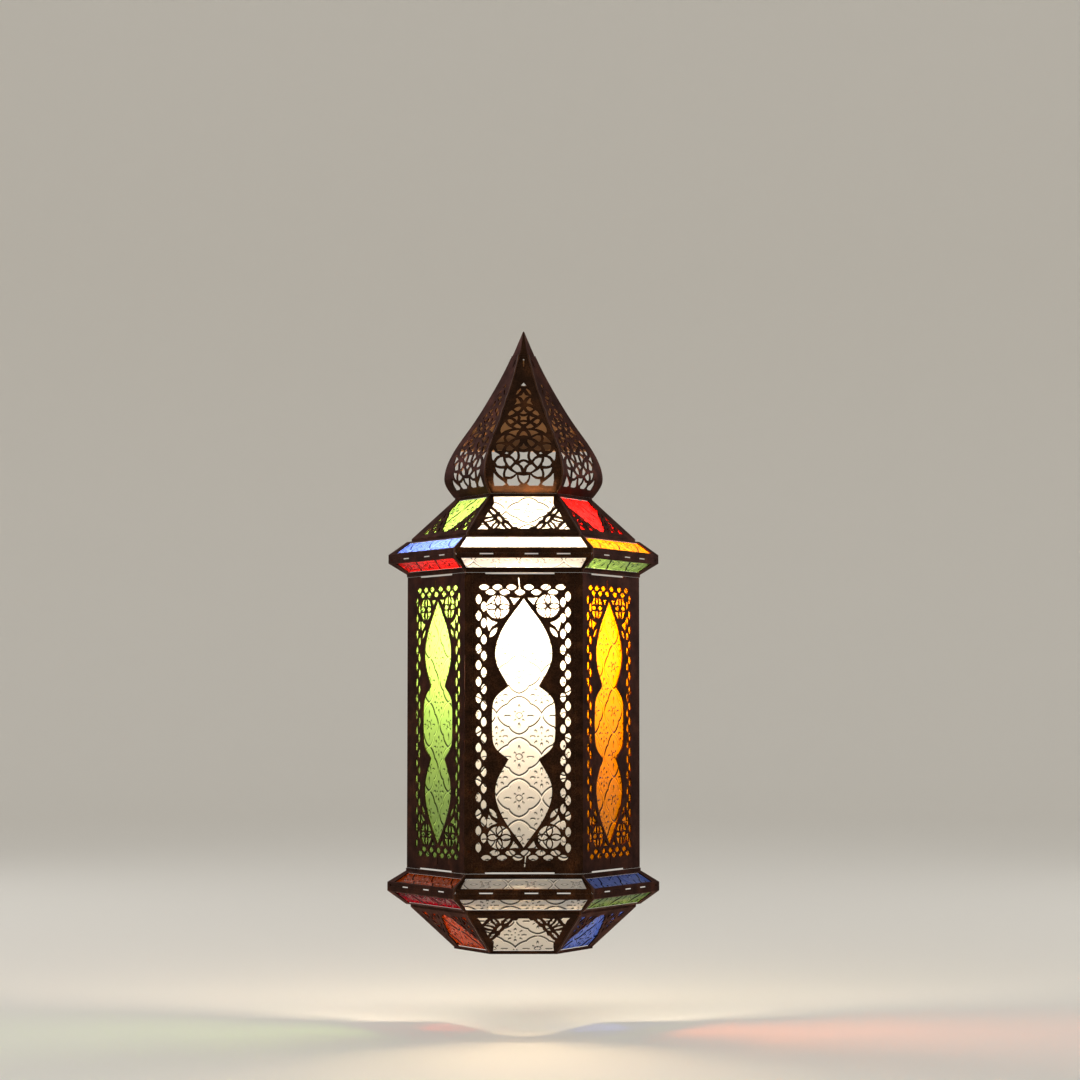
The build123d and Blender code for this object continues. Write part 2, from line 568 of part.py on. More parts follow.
tabs = []
TAB = (6.0, 0.8, 6.0)    # width, thickness and reach over the pane
tab_d = BODY_D - SHEET - 0.3 - PANE - 0.05
stem_len = BODY_D - SHEET - 0.03 - tab_d + TAB[1]
for face in FACES:
    for x in (-28, 28):
        for side in (-1, 1):
            edge = pane_half + 0.4
            stem_y = -(tab_d - TAB[1] + stem_len / 2)
            stem = Pos(x, stem_y, MID_Z + side * (edge + TAB[1] / 2)) * Box(TAB[0], stem_len, TAB[1])
            flap_z = MID_Z + side * (edge - TAB[2] / 2 + TAB[1] / 2)
            flap = Pos(x, -(tab_d - TAB[1] / 2), flap_z) * Box(TAB[0], TAB[1], TAB[2] + TAB[1])
            tabs.append(turned(stem + flap, face))
keep("pane_tabs", Compound(children=tabs))

os.makedirs("parts", exist_ok=True)
for name, shape in PARTS.items():
    export_step(shape, f"parts/{name}.step")
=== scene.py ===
from math import atan2, cos, hypot, pi, radians, sin, tan

import bmesh
import bpy
import numpy as np
from bpy.props import FloatProperty, FloatVectorProperty, PointerProperty
from mathutils import Matrix, Vector


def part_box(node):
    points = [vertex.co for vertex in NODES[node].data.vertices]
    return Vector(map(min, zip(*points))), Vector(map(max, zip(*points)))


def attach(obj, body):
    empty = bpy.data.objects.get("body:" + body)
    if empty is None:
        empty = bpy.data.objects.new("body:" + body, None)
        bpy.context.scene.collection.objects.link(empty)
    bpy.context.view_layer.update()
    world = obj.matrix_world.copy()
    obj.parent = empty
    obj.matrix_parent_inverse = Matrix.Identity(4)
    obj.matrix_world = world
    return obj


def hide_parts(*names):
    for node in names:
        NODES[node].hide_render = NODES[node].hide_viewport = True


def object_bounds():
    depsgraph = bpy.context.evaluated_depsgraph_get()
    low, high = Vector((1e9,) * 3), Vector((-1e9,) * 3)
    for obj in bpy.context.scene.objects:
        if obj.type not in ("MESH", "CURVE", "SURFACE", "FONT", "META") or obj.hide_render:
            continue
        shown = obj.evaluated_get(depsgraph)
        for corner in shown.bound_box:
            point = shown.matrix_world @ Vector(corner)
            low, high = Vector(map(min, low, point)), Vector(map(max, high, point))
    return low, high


bl_info = {
    "name": "Moroccan metal lantern",
    "version": (1, 0, 0),
    "blender": (4, 5, 0),
    "location": "3D View > Sidebar > Lantern",
    "description": "Half-hexagonal wall lantern of pierced bronzed sheet with pressed glass panes",
    "category": "Object",
}

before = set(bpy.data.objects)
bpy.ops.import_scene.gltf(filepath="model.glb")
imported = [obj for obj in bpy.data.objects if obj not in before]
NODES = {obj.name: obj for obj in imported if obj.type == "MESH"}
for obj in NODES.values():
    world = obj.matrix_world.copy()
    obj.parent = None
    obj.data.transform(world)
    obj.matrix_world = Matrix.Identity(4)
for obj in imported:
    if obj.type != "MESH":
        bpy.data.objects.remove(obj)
CAD_LOW, CAD_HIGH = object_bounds()

MM = 0.001
FACES = {"left": -60.0, "front": 0.0, "right": 60.0}
AXIS_Y = -5.0 * MM       # axis of the hexagon, just in front of the wall
HALF_SECTOR = tan(radians(30))
BULB_LOW, BULB_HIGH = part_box("bulb_glass")
BULB_CENTRE = (BULB_LOW + BULB_HIGH) / 2
LAMP_AXIS = Vector((BULB_CENTRE.x, BULB_CENTRE.y, 0))

# Glass colour of each level on the left, middle and right face, from the roof down.
PANE_COLOURS = {
    "tier_1": ("green", "clear", "red"),
    "tier_2": ("blue", "clear", "amber"),
    "tier_3": ("red", "clear", "green"),
    "body": ("green", "clear", "amber"),
    "tier_4": ("orange", "clear", "blue"),
    "tier_5": ("crimson", "clear", "green"),
    "tier_6": ("orange", "clear", "blue"),
}
# How far the pressed pattern is shifted on each of those panes, as cut from the sheet, in mm.
PATTERN_SHIFTS = {
    "tier_1": ((3.0, 9.0), (10.0, 14.0), (17.0, 19.0)),
    "tier_2": ((12.0, 4.0), (2.0, 9.0), (26.0, 14.0)),
    "tier_3": ((20.0, 17.6), (13.0, 4.0), (6.0, 27.0)),
    "body": ((0.0, 19.8), (11.0, 21.2), (7.0, 9.0)),
    "tier_4": ((9.0, 2.0), (16.0, 12.0), (23.0, 12.0)),
    "tier_5": ((25.0, 14.0), (2.0, 28.0), (7.0, 24.0)),
    "tier_6": ((13.0, 1.0), (2.9, 6.5), (27.0, 11.0)),
}
GLASS_TINTS = {
    "clear": "#FFF8EC",
    "green": "#B2CC84",
    "amber": "#F4AE0A",
    "red": "#EC403A",
    "crimson": "#CC1440",
    "blue": "#8CA4F0",
    "orange": "#E4701E",
}


# ---------------------------------------------------------------- small tools
def linear(code, alpha=1.0):
    """A hex colour as the linear values that shaders take."""
    values = [int(code[i:i + 2], 16) / 255 for i in (1, 3, 5)]
    out = [v / 12.92 if v <= 0.04045 else ((v + 0.055) / 1.055) ** 2.4 for v in values]
    return (*out, alpha)


def add(tree, kind, links=None, stops=(), **settings):
    """Adds a node with its settings, fills or links its inputs, and sets a colour ramp's stops,
    which are (position, hex) pairs."""
    made = tree.nodes.new(kind)
    for name, value in settings.items():
        setattr(made, name, value)
    for name, value in (links or {}).items():
        if isinstance(value, bpy.types.NodeSocket):
            tree.links.new(value, made.inputs[name])
        else:
            made.inputs[name].default_value = value
    if stops:
        elements = made.color_ramp.elements
        while len(elements) < len(stops):
            elements.new(0.5)
        for element, (position, code) in zip(elements, stops):
            element.position = position
            element.color = linear(code)
    return made


def new_material(name):
    """An empty node material with its output, and the piece's own coordinates in metres."""
    material = bpy.data.materials.new(name)
    material.use_nodes = True
    tree = material.node_tree
    tree.nodes.clear()
    output = add(tree, "ShaderNodeOutputMaterial")
    place = add(tree, "ShaderNodeTexCoord").outputs["Object"]
    return material, tree, output, place


def per_mm(size):
    """Texture scale that gives features of about this size in millimetres."""
    return 1.0 / (size * MM)


def paint(name, material):
    """Gives a CAD node its finish."""
    mesh = NODES[name].data
    mesh.materials.clear()
    mesh.materials.append(material)


def finish_piece(name, shape, material, body="lantern", replaces=(), smooth=35.0):
    """Turns a bmesh into a named piece that rides on a body."""
    mesh = bpy.data.meshes.new(name)
    bmesh.ops.recalc_face_normals(shape, faces=shape.faces)
    shape.to_mesh(mesh)
    shape.free()
    mesh.materials.append(material)
    piece = bpy.data.objects.new(name, mesh)
    bpy.context.scene.collection.objects.link(piece)
    if smooth:
        mesh.shade_smooth()
        mesh.set_sharp_from_angle(angle=radians(smooth))
    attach(piece, body)
    if replaces:
        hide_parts(*replaces)
    return piece


def turned(face):
    """Turn about the lantern's axis from the middle face to another."""
    middle = Matrix.Translation((0, AXIS_Y, 0))
    return middle @ Matrix.Rotation(radians(FACES[face]), 4, "Z") @ middle.inverted()


def lathe(profile, steps=64):
    """A closed shape spun about the lamp's axis from (radius, height) points."""
    shape = bmesh.new()
    ring = [shape.verts.new((r, 0, z)) for r, z in profile]
    edges = [shape.edges.new(pair) for pair in zip(ring, ring[1:])]
    bmesh.ops.spin(shape, geom=ring + edges, cent=(0, 0, 0), axis=(0, 0, 1), angle=2 * pi,
                   steps=steps, use_merge=True)
    bmesh.ops.remove_doubles(shape, verts=shape.verts, dist=1e-6)
    bmesh.ops.translate(shape, verts=shape.verts, vec=LAMP_AXIS)
    return shape


# ---------------------------------------------------------------- finishes
def bronzed_iron():
    """Bronze lacquer on sheet iron, rubbed by hand: brown-black with a copper cast where it is
    thin, in soft patches of about 14 mm, and a satin surface with fine brush drag."""
    material, tree, output, place = new_material("bronze_lacquered_sheet_iron_hand_rubbed")
    patches = add(tree, "ShaderNodeTexNoise", {"Vector": place, "Scale": per_mm(14), "Detail": 4.0,
                                               "Roughness": 0.6})
    grit = add(tree, "ShaderNodeTexNoise", {"Vector": place, "Scale": per_mm(1.1), "Detail": 2.0})
    drag = add(tree, "ShaderNodeMapping", {"Vector": place, "Scale": (1.0, 1.0, 0.12)})
    brush = add(tree, "ShaderNodeTexNoise", {"Vector": drag.outputs["Vector"],
                                             "Scale": per_mm(1.6), "Detail": 3.0})
    colour = add(tree, "ShaderNodeValToRGB", {"Fac": patches.outputs["Fac"]},
                 stops=[(0.30, "#20130C"), (0.52, "#342014"), (0.70, "#4C2E1A")])
    speck = add(tree, "ShaderNodeValToRGB", {"Fac": grit.outputs["Fac"]},
                stops=[(0.35, "#B8B0AA"), (0.65, "#FFFFFF")])
    tone = add(tree, "ShaderNodeMix", {"Factor": 1.0, 6: colour.outputs["Color"],
                                       7: speck.outputs["Color"]},
               data_type="RGBA", blend_type="MULTIPLY")
    rough = add(tree, "ShaderNodeMapRange", {"Value": patches.outputs["Fac"], "From Min": 0.3,
                                             "From Max": 0.7, "To Min": 0.56, "To Max": 0.40})
    relief = add(tree, "ShaderNodeMath", {0: grit.outputs["Fac"], 1: brush.outputs["Fac"]},
                 operation="ADD")
    bump = add(tree, "ShaderNodeBump", {"Height": relief.outputs[0], "Strength": 0.35,
                                        "Distance": 0.12 * MM})
    shader = add(tree, "ShaderNodeBsdfPrincipled", {
        "Base Color": tone.outputs[2], "Metallic": 0.75, "Roughness": rough.outputs[0],
        "Specular Tint": linear("#C8A080"), "Normal": bump.outputs["Normal"]})
    tree.links.new(shader.outputs["BSDF"], output.inputs["Surface"])
    return material


def pressed_glass(colour):
    """Rolled glass pressed with a relief: the stippled ground glows with the light behind it.
    Each raised ridge carries painted shade and painted highlight for the way it bends the
    lamp's light: one slope darker and the other lighter by how it leans from the bulb's height,
    steep slopes darker, a darker band low on each ridge and a white crown. The panes also carry
    a painted glow, an emission of their own tint that weakens with the distance from the bulb,
    for the light scattered inside the glass."""
    material, tree, output, place = new_material(f"pressed_pattern_glass_{colour}")
    tint = GLASS_TINTS[colour]
    relief = add(tree, "ShaderNodeAttribute", attribute_name="relief")
    # Painted shade and painted highlight on the pressed ridges, set by the relief's height: darker
    # low on each ridge and white at its crown, over a light ground.
    height = add(tree, "ShaderNodeValToRGB", {"Fac": relief.outputs["Fac"]}, stops=[
        (0.02, "#E6E6E6"), (0.25, "#A0A0A0"), (0.60, "#C8C8C8"), (0.92, "#FFFFFF")])
    # Painted shade and painted highlight on each ridge's slopes, read from the attribute that
    # make_pane stores: dark where it reads 0, white where it reads 1.
    painted_flank_shade = add(tree, "ShaderNodeAttribute", attribute_name="painted_flank_shade")
    painted_slope_ramp = add(tree, "ShaderNodeValToRGB", {"Fac": painted_flank_shade.outputs["Fac"]}, stops=[
        (0.0, "#242424"), (0.45, "#D0D0D0"), (0.55, "#D0D0D0"), (1.0, "#FFFFFF")])
    painted_ridge_shade = add(tree, "ShaderNodeMix", {"Factor": 1.0, 6: height.outputs["Color"],
                                        7: painted_slope_ramp.outputs["Color"]},
                data_type="RGBA", blend_type="MULTIPLY")
    shade = add(tree, "ShaderNodeMix", {"Factor": 1.0, 6: linear(tint), 7: painted_ridge_shade.outputs[2]},
                data_type="RGBA", blend_type="MULTIPLY")
    stipple = add(tree, "ShaderNodeTexNoise", {"Vector": place, "Scale": per_mm(1.3),
                                               "Detail": 2.0})
    bump = add(tree, "ShaderNodeBump", {"Height": stipple.outputs["Fac"], "Strength": 0.5,
                                        "Distance": 0.25 * MM})
    # Painted glow: the panes emit light of their own tint, strongest near the bulb, weaker with
    # distance from it, and brighter in clear glass. It stands in for lamp light scattered inside
    # the glass.
    away = add(tree, "ShaderNodeVectorMath", {0: place, 1: BULB_CENTRE}, operation="DISTANCE")
    painted_glow_near, painted_glow_far = (1.6, 0.5) if colour == "clear" else (0.8, 0.28)
    painted_glow_strength = add(tree, "ShaderNodeMapRange", {
        "Value": away.outputs["Value"], "From Min": 40 * MM, "From Max": 210 * MM,
        "To Min": painted_glow_near, "To Max": painted_glow_far}, interpolation_type="SMOOTHSTEP")
    glass = add(tree, "ShaderNodeBsdfPrincipled", {
        "Base Color": shade.outputs[2], "Roughness": 0.22, "IOR": 1.52,
        "Transmission Weight": 1.0, "Normal": bump.outputs["Normal"],
        "Emission Color": shade.outputs[2], "Emission Strength": painted_glow_strength.outputs[0]})
    glow = add(tree, "ShaderNodeBsdfTranslucent", {"Color": shade.outputs[2],
                                                   "Normal": bump.outputs["Normal"]})
    body = add(tree, "ShaderNodeMixShader", {0: 0.6, 1: glass.outputs["BSDF"],
                                             2: glow.outputs["BSDF"]})
    clear = add(tree, "ShaderNodeBsdfTransparent", {"Color": linear(tint)})
    path = add(tree, "ShaderNodeLightPath")
    surface = add(tree, "ShaderNodeMixShader", {0: path.outputs["Is Shadow Ray"],
                                                1: body.outputs[0], 2: clear.outputs[0]})
    tree.links.new(surface.outputs[0], output.inputs["Surface"])
    return material


def plain_finish(name, code, metallic, roughness, grain_mm, bump_mm, spread=0.08, **sockets):
    """A moulded or plated finish: one colour with a faint grain in its tone and gloss."""
    material, tree, output, place = new_material(name)
    grain = add(tree, "ShaderNodeTexNoise", {"Vector": place, "Scale": per_mm(grain_mm),
                                             "Detail": 3.0})
    rough = add(tree, "ShaderNodeMapRange", {"Value": grain.outputs["Fac"],
                                             "To Min": roughness - spread,
                                             "To Max": roughness + spread})
    bump = add(tree, "ShaderNodeBump", {"Height": grain.outputs["Fac"], "Strength": 0.3,
                                        "Distance": bump_mm * MM})
    links = {"Base Color": linear(code), "Metallic": metallic, "Roughness": rough.outputs[0],
             "Normal": bump.outputs["Normal"]}
    links.update(sockets)
    shader = add(tree, "ShaderNodeBsdfPrincipled", links)
    tree.links.new(shader.outputs["BSDF"], output.inputs["Surface"])
    return material


def back_plate_painted_light():
    """The bronze lacquer in a lighter, clearer tan than the iron, for the dome's back plate: the
    lighter tone is painted light, standing in for the bulb's light on the plate behind the
    fretwork.
    """
    return plain_finish("bronze_lacquer_painted_light", "#8C6A48", 0.55, 0.42, 9.0, 0.05)


def solder():
    """Tin solder run along a joint and lacquered over: lumpy, a little brighter than the sheet."""
    return plain_finish("tin_solder_lacquered", "#43291A", 0.85, 0.38, 2.5, 0.4)


def zinc():
    """Zinc plated steel: cool grey with a faint cloudy bloom."""
    return plain_finish("zinc_plated_steel", "#A9A8A4", 1.0, 0.36, 4.0, 0.05)


def phenolic():
    """Phenolic moulding: black and glossy, with a faint flow in the gloss."""
    return plain_finish("phenolic_moulding_black", "#15120F", 0.0, 0.24, 6.0, 0.04)


def nylon():
    """Natural nylon moulding: warm white and silky, with a little light inside."""
    return plain_finish("nylon_moulding_natural", "#E6E0D2", 0.0, 0.45, 3.0, 0.05,
                        **{"Subsurface Weight": 0.15, "Subsurface Scale": 0.002})


def nickel():
    """Nickel plated brass with a rolled thread: pale, warm and fairly bright."""
    return plain_finish("nickel_plated_brass_rolled", "#CFC7B6", 1.0, 0.24, 5.0, 0.03)


def vitrite():
    """Black glass that insulates the bulb's contact."""
    return plain_finish("vitrite_black_glass", "#0C0A10", 0.0, 0.12, 4.0, 0.02)


def opal_bulb(strength):
    """Opal glass with the lamp lit inside: an even warm glow right to the edge."""
    material, tree, output, _ = new_material("opal_glass_lit")
    shader = add(tree, "ShaderNodeBsdfPrincipled", {
        "Base Color": linear("#FFF6E8"), "Roughness": 0.25,
        "Emission Color": linear("#FFE9C8"), "Emission Strength": strength})
    tree.links.new(shader.outputs["BSDF"], output.inputs["Surface"])
    return material


def tungsten():
    """Drawn tungsten wire and glass stem inside the bulb."""
    return plain_finish("tungsten_wire_drawn", "#8A8078", 1.0, 0.35, 2.0, 0.02)


# ---------------------------------------------------------------- pressed relief of the panes
def segment_gap(a, b, start, end):
    """Distance of each point (a, b) from a straight segment."""
    ax, ay = start
    dx, dy = end[0] - ax, end[1] - ay
    share = np.clip(((a - ax) * dx + (b - ay) * dy) / (dx * dx + dy * dy), 0, 1)
    return np.hypot(a - ax - share * dx, b - ay - share * dy)


def ogee_points(cell_w, cell_h):
    """A quarter of one lattice cell: two hollow curves that meet in a barb half way."""
    half_w, half_h = cell_w / 2, cell_h / 2
    barb = (0.44 * half_w, 0.535 * half_h)
    stops = [(half_w, 0.0), barb, (0.075 * half_w, half_h)]
    points = []
    for (a0, b0), (a1, b1) in zip(stops, stops[1:]):
        for i in range(8):
            t = i / 7 * pi / 2
            points.append((a0 + (a1 - a0) * sin(t) ** 1.33, b0 + (b1 - b0) * (1 - cos(t) ** 1.33)))
    return points


def ridge(gap, width):
    """Rounded ridge of full height 1 along gap 0."""
    return np.clip(1 - (gap / width) ** 2, 0, 1) ** 1.5


def drop(a, b, at, length, width):
    """A raised teardrop with its long axis pointing at the flower's centre."""
    angle = atan2(at[1], at[0])
    along = (a - at[0]) * cos(angle) + (b - at[1]) * sin(angle)
    across = -(a - at[0]) * sin(angle) + (b - at[1]) * cos(angle)
    return np.clip(1 - (along / length) ** 2 - (across / width) ** 2, 0, 1) ** 0.7


def relief_height(u, v, cell_w, cell_h):
    """Height, 0 to 1, of the ogee lattice with its two flowers, over a pane in millimetres."""
    uu = (u + cell_w / 2) % cell_w - cell_w / 2
    vv = (v + cell_h / 2) % cell_h - cell_h / 2
    a, b = np.abs(uu), np.abs(vv)
    points = ogee_points(cell_w, cell_h)
    gap = np.full(u.shape, 1e9)
    for start, end in zip(points, points[1:]):
        gap = np.minimum(gap, segment_gap(a, b, start, end))
    height = ridge(gap, 1.4)
    height = np.maximum(height, drop(a, b, (6.3, 0), 1.9, 1.1))
    height = np.maximum(height, drop(a, b, (0, 6.9), 2.2, 1.1))
    height = np.maximum(height, 0.8 * drop(a, b, (4.3, 4.5), 1.6, 0.9))
    height = np.maximum(height, 0.5 * drop(a, b, (2.6, 0), 1.0, 0.6))
    height = np.maximum(height, 0.5 * drop(a, b, (0, 2.8), 1.0, 0.6))
    p, q = cell_w / 2 - a, cell_h / 2 - b
    height = np.maximum(height, drop(p, q, (7.2, 0), 2.3, 0.9))
    height = np.maximum(height, drop(p, q, (0, 9.0), 3.1, 0.9))
    height = np.maximum(height, ridge(np.abs(np.hypot(p, q) - 2.3), 0.65))
    height = np.maximum(height, 0.8 * drop(p, q, (3.2, 3.2), 1.2, 0.7))
    return height


def pane_faces(name, face):
    """Corners of a CAD pane's outer face, with its outward normal, and its thickness."""
    outwards = turned(face).to_3x3() @ Vector((0, -1, 0))
    shape = bmesh.new()
    shape.from_mesh(NODES[name].data)
    bmesh.ops.remove_doubles(shape, verts=shape.verts, dist=1e-5)
    bmesh.ops.dissolve_limit(shape, angle_limit=radians(1), verts=shape.verts, edges=shape.edges)
    large = sorted(shape.faces, key=lambda f: f.calc_area())[-2:]
    large.sort(key=lambda f: f.calc_center_median().dot(outwards))
    inner, outer = large
    normal = outer.normal.copy()
    if normal.dot(outer.calc_center_median() - inner.calc_center_median()) < 0:
        normal.negate()
    thick = abs(normal.dot(outer.calc_center_median() - inner.verts[0].co))
    corners = [v.co.copy() for v in outer.verts]
    shape.free()
    return corners, normal, thick


def pane_axes(normal):
    """Level and rising directions in the plane of a pane."""
    across = Vector((0, 0, 1)).cross(normal).normalized()
    return across, normal.cross(across).normalized()


def make_pane(name, face, colour, settings, shift, sideways):
    """A pressed pane in the place of a CAD pane: relief on the outer side, plain behind."""
    corners, normal, thick = pane_faces(name, face)
    across, rise = pane_axes(normal)
    centre = sum(corners, Vector()) / len(corners)
    flat = [((c - centre).dot(across), (c - centre).dot(rise)) for c in corners]
    low = sorted(sorted(flat, key=lambda p: p[1])[:2])
    high = sorted(sorted(flat, key=lambda p: p[1])[2:])
    wide = max(high[1][0] - high[0][0], low[1][0] - low[0][0])
    tall = high[0][1] - low[0][1]
    step = settings.relief_step * MM
    columns, rows = round(wide / step), round(tall / step)
    shape = bmesh.new()
    bmesh.ops.create_grid(shape, x_segments=columns, y_segments=rows, size=0.5)
    shape.verts.ensure_lookup_table()
    grid = np.array([v.co[:2] for v in shape.verts]) + 0.5
    s, t = grid[:, 0], grid[:, 1]
    left = np.outer(1 - t, low[0]) + np.outer(t, high[0])
    right = np.outer(1 - t, low[1]) + np.outer(t, high[1])
    spot = left * (1 - s)[:, None] + right * s[:, None]
    u, v = spot[:, 0] / MM, spot[:, 1] / MM
    def pattern(u, v):
        turned_u, turned_v = (v, u) if sideways else (u, v)
        return relief_height(turned_u + shift[0], turned_v + shift[1],
                             settings.cell_width, settings.cell_height)

    height = pattern(u, v)
    # Painted shade for the ridges, stored per vertex for the glass material: a slope that rises
    # away from the bulb's height is darker, one that rises towards it is lighter, and steep slopes
    # are darker still.
    above_lamp = v - (BULB_CENTRE - centre).dot(rise) / MM
    slope_u = pattern(u + 0.3, v) - pattern(u - 0.3, v)
    slope_v = pattern(u, v + 0.3) - pattern(u, v - 0.3)
    lean = slope_v * above_lamp / (np.abs(above_lamp) + 12.0)
    painted_flank_shade = np.clip(0.5 - 1.8 * lean - 0.3 * np.hypot(slope_u, slope_v), 0, 1)
    edge = np.minimum(np.minimum(s, 1 - s) * wide, np.minimum(t, 1 - t) * tall) / MM
    height = height * np.clip(edge / 1.5, 0, 1)
    depth = settings.relief_depth * MM
    lift = (height - 1) * depth
    place = (np.array(centre) + np.outer(spot[:, 0], across) + np.outer(spot[:, 1], rise)
             + np.outer(lift, normal))
    for vert, co in zip(shape.verts, place):
        vert.co = co
    relief_layer = shape.verts.layers.float.new("relief")
    painted_flank_layer = shape.verts.layers.float.new("painted_flank_shade")
    for vert, level, painted_slope_value in zip(shape.verts, height, painted_flank_shade):
        vert[relief_layer] = level
        vert[painted_flank_layer] = painted_slope_value
    rim = [e for e in shape.edges if e.is_boundary]
    skirt = bmesh.ops.extrude_edge_only(shape, edges=rim)["geom"]
    back = [g for g in skirt if isinstance(g, bmesh.types.BMVert)]
    bmesh.ops.translate(shape, verts=back, vec=-normal * (thick - depth))
    for vert in back:
        vert[relief_layer] = 0.0
        vert[painted_flank_layer] = 0.5
    loop = [g for g in skirt if isinstance(g, bmesh.types.BMEdge)]
    bmesh.ops.edgeloop_fill(shape, edges=loop)
    piece = finish_piece(name.replace("_glass", "_pane"), shape, GLASS[colour],
                         replaces=[name], smooth=60.0)
    return piece


# ---------------------------------------------------------------- solder seams
# Mitred edges as (distance from the wall, height above the bottom edge), in millimetres.
SEAM_LINES = [
    [(50.9, 362.4), (81.3, 330.6), (81.3, 328.6)],
    [(84.5, 328.0), (97.6, 317.6), (97.6, 314.0)],
    [(97.6, 313.4), (97.6, 310.6), (84.8, 301.6), (84.8, 299.8)],
]


LANTERN_FOLD = 364.0     # the lower levels mirror the upper ones: their heights add up to this
MITRE_REACH = 0.6 * MM   # how near to the mitre a point of the panel counts as on its edge
DOME_STEP = 2.0          # spacing of the points read from the dome, in millimetres
BEAD_STEP = 4            # spacing of the lumps in the solder, in millimetres


def dome_edge():
    """The dome's curved edge, read from the outermost points of its middle panel."""
    edge = {}
    for vert in NODES["dome_front_panel"].data.vertices:
        x, y, z = vert.co
        if abs(x - (AXIS_Y - y) * HALF_SECTOR) < MITRE_REACH:
            level = round((z - CAD_LOW.z) / MM / DOME_STEP)
            edge[level] = max(edge.get(level, 0), -y / MM)
    return [(depth, level * DOME_STEP) for level, depth in sorted(edge.items())]


def seam_points(run, side):
    """Points along a mitre on the left or the right of the middle face, one for each lump."""
    points = []
    for (d0, z0), (d1, z1) in zip(run, run[1:]):
        steps = max(1, round(hypot(d1 - d0, z1 - z0) / BEAD_STEP))
        for i in range(steps):
            points.append((d0 + (d1 - d0) * i / steps, z0 + (z1 - z0) * i / steps))
    points.append(run[-1])
    return [Vector((side * (d * MM + AXIS_Y) * HALF_SECTOR, -d * MM, CAD_LOW.z + z * MM))
            for d, z in points]


# ---------------------------------------------------------------- properties
class LanternSettings(bpy.types.PropertyGroup):
    cell_width: FloatProperty(name="Cell width", description="Width of one cell of the pressed "
                              "lattice, in millimetres", default=32.0, min=10.0)
    cell_height: FloatProperty(name="Cell height", description="Height of one cell of the pressed "
                               "lattice, in millimetres", default=35.2, min=10.0)
    relief_depth: FloatProperty(name="Relief depth", description="Height of the pressed lines, in "
                                "millimetres", default=0.7, min=0.1, max=1.5)
    relief_step: FloatProperty(name="Relief step", description="Spacing of the pane's mesh, in "
                               "millimetres", default=0.62, min=0.4)
    bulb_strength: FloatProperty(name="Bulb strength", description="Brightness of the opal bulb",
                                 default=220.0, min=0.0)
    floor_drop: FloatProperty(name="Floor drop", description="Gap between the lantern's bottom "
                              "edge and the floor", default=0.06, unit="LENGTH")
    seam_radius: FloatProperty(name="Solder seam", description="Half width of the solder seams",
                               default=0.0008, unit="LENGTH", precision=5)
    floor_colour: FloatVectorProperty(name="Floor colour", description="Colour of the floor",
                                      subtype="COLOR", size=3, default=linear("#E9E6E0")[:3])


# Where each softbox stands from the lantern's middle, its width in metres, and its watts.
SOFTBOXES = {
    "key_softbox": ((-1.5, -2.0, 1.1), 1.4, 13.0),
    "fill_softbox": ((1.9, -1.8, 0.3), 1.6, 5.0),
    "back_softbox_left": ((-1.6, 1.4, 0.8), 1.0, 6.0),
    "back_softbox_right": ((1.8, 1.3, 0.6), 1.0, 5.0),
}
# The camera stands 194 mm above the lantern's bottom edge and looks up a little.
CAMERA_AT = (-0.0049, -2.1801, CAD_LOW.z + 0.1940)
CAMERA_TILT = 93.568
CAMERA_TURN = -0.482
CAMERA_LENS = 89.43

METALWORK = [n for n in NODES if n.endswith(("_frame", "_panel"))] + [
    "dome_cap", "corner_strips", "back_stiles", "back_straps", "lamp_bracket"]
GLASS = {}


class LANTERN_OT_metalwork(bpy.types.Operator):
    """Finish the folded and pierced sheet parts"""
    bl_idname = "lantern.metalwork"
    bl_label = "Metalwork"

    def execute(self, context):
        iron = bronzed_iron()
        for name in METALWORK:
            paint(name, iron)
        # The dome's back plate gets a lighter tan, which is painted light from the bulb.
        paint("dome_back_plate", back_plate_painted_light())
        return {"FINISHED"}


class LANTERN_OT_seams(bpy.types.Operator):
    """Run the solder seams down the mitres of the roof, the tiers and the dome"""
    bl_idname = "lantern.seams"
    bl_label = "Solder seams"

    def execute(self, context):
        settings = context.scene.lantern
        curve = bpy.data.curves.new("solder_line", "CURVE")
        curve.dimensions = "3D"
        curve.bevel_depth = settings.seam_radius
        curve.bevel_resolution = 2
        curve.use_fill_caps = True
        lower = [[(d, LANTERN_FOLD - z) for d, z in line] for line in SEAM_LINES]
        runs = [run for pair in zip(SEAM_LINES, lower) for run in pair]
        runs.append(dome_edge())
        for side in (-1, 1):
            for run in runs:
                points = seam_points(run, side)
                spline = curve.splines.new("POLY")
                spline.points.add(len(points) - 1)
                for i, (target, point) in enumerate(zip(spline.points, points)):
                    target.co = (*point, 1.0)
                    target.radius = 1 + 0.22 * sin(i * 1.7) + 0.15 * sin(i * 0.61 + side)
        holder = bpy.data.objects.new("solder_line", curve)
        shape = bmesh.new()
        shape.from_mesh(bpy.data.meshes.new_from_object(holder))
        bpy.data.objects.remove(holder)
        finish_piece("solder_seams", shape, solder(), smooth=60.0)
        return {"FINISHED"}


class LANTERN_OT_panes(bpy.types.Operator):
    """Press the coloured panes of every level"""
    bl_idname = "lantern.panes"
    bl_label = "Glass panes"

    def execute(self, context):
        settings = context.scene.lantern
        for colour in GLASS_TINTS:
            GLASS[colour] = pressed_glass(colour)
        for level, colours in PANE_COLOURS.items():
            for face, colour, shift in zip(FACES, colours, PATTERN_SHIFTS[level]):
                make_pane(f"{level}_{face}_glass", face, colour, settings, shift, face == "front")
        return {"FINISHED"}


